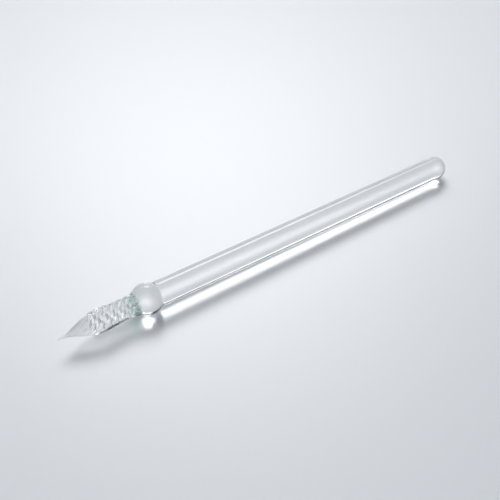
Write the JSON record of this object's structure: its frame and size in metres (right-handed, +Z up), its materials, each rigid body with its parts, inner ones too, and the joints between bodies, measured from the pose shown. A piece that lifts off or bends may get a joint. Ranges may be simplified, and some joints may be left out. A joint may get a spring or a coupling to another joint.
{
  "type": "glass dip pen",
  "caption": "Clear glass dip pen: solid round shaft with a rounded end, a glass ball collar and a twisted, grooved nib that tapers to a fine point.",
  "frame": {"origin": "bottom centre of the pen's box as it lies on a level surface, on its ball and its round end", "axes": "+X along the pen from the writing point towards the round end, +Z up, +Y to the left of +X"},
  "size_m": [0.16, 0.011, 0.0109],
  "materials": {
    "shaft_glass": "clear solid glass, fire-polished",
    "ball_glass": "clear solid glass, fire-polished",
    "nib_glass": "clear ribbed glass with a faint green cast, fire-polished"
  },
  "bodies": {
    "root": {"shaft": "shaft_glass", "collar_ball": "ball_glass", "nib_core": "nib_glass", "nib_rib_01": "nib_glass", "nib_rib_02": "nib_glass", "nib_rib_03": "nib_glass", "nib_rib_04": "nib_glass", "nib_rib_05": "nib_glass", "nib_rib_06": "nib_glass", "nib_rib_07": "nib_glass", "nib_rib_08": "nib_glass", "nib_rib_09": "nib_glass", "nib_rib_10": "nib_glass"}
  },
  "joints": []
}
